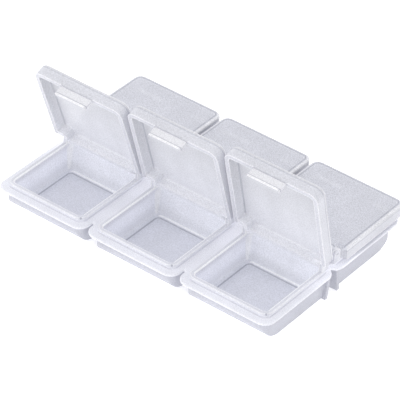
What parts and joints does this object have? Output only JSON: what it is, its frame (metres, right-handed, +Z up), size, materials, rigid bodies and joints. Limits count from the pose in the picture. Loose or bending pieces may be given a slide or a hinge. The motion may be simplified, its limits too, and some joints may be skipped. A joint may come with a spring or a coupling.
{
  "type": "compartment box",
  "caption": "Clear compartment box: a tray with two rows of scooped wells, each under its own flip lid with a latch tab.",
  "frame": {"origin": "on the surface the box stands on, under the middle of the tray", "axes": "+X along the rows of wells, +Y from the open front row to the closed rear row, +Z up"},
  "size_m": [0.1638, 0.11, 0.071],
  "materials": {
    "tray_plastic": "clear moulded plastic, slightly hazy, with a faint lavender cast",
    "lid_plastic": "clear moulded plastic, slightly hazy, with a faint lavender cast"
  },
  "bodies": {
    "tray": {"tray": "tray_plastic"},
    "lid_front_left": {"lid_front_left": "lid_plastic"},
    "lid_front_middle": {"lid_front_middle": "lid_plastic"},
    "lid_front_right": {"lid_front_right": "lid_plastic"},
    "lid_rear_left": {"lid_rear_left": "lid_plastic"},
    "lid_rear_middle": {"lid_rear_middle": "lid_plastic"},
    "lid_rear_right": {"lid_rear_right": "lid_plastic"}
  },
  "joints": [
    {"name": "flip_front_left", "type": "hinge", "parent": "tray", "child": "lid_front_left", "pos_m": [-0.055, -0.0047, 0.0209], "axis": [1, 0, 0], "range_deg": [-22.6, 69.4]},
    {"name": "flip_front_middle", "type": "hinge", "parent": "tray", "child": "lid_front_middle", "pos_m": [0, -0.0047, 0.0209], "axis": [1, 0, 0], "range_deg": [-19.9, 72.1]},
    {"name": "flip_front_right", "type": "hinge", "parent": "tray", "child": "lid_front_right", "pos_m": [0.055, -0.0047, 0.0209], "axis": [1, 0, 0], "range_deg": [-16.2, 75.8]},
    {"name": "flip_rear_left", "type": "hinge", "parent": "tray", "child": "lid_rear_left", "pos_m": [-0.055, 0.0047, 0.0209], "axis": [1, 0, 0], "range_deg": [0, 92]},
    {"name": "flip_rear_middle", "type": "hinge", "parent": "tray", "child": "lid_rear_middle", "pos_m": [0, 0.0047, 0.0209], "axis": [1, 0, 0], "range_deg": [0, 92]},
    {"name": "flip_rear_right", "type": "hinge", "parent": "tray", "child": "lid_rear_right", "pos_m": [0.055, 0.0047, 0.0209], "axis": [1, 0, 0], "range_deg": [0, 92]}
  ]
}
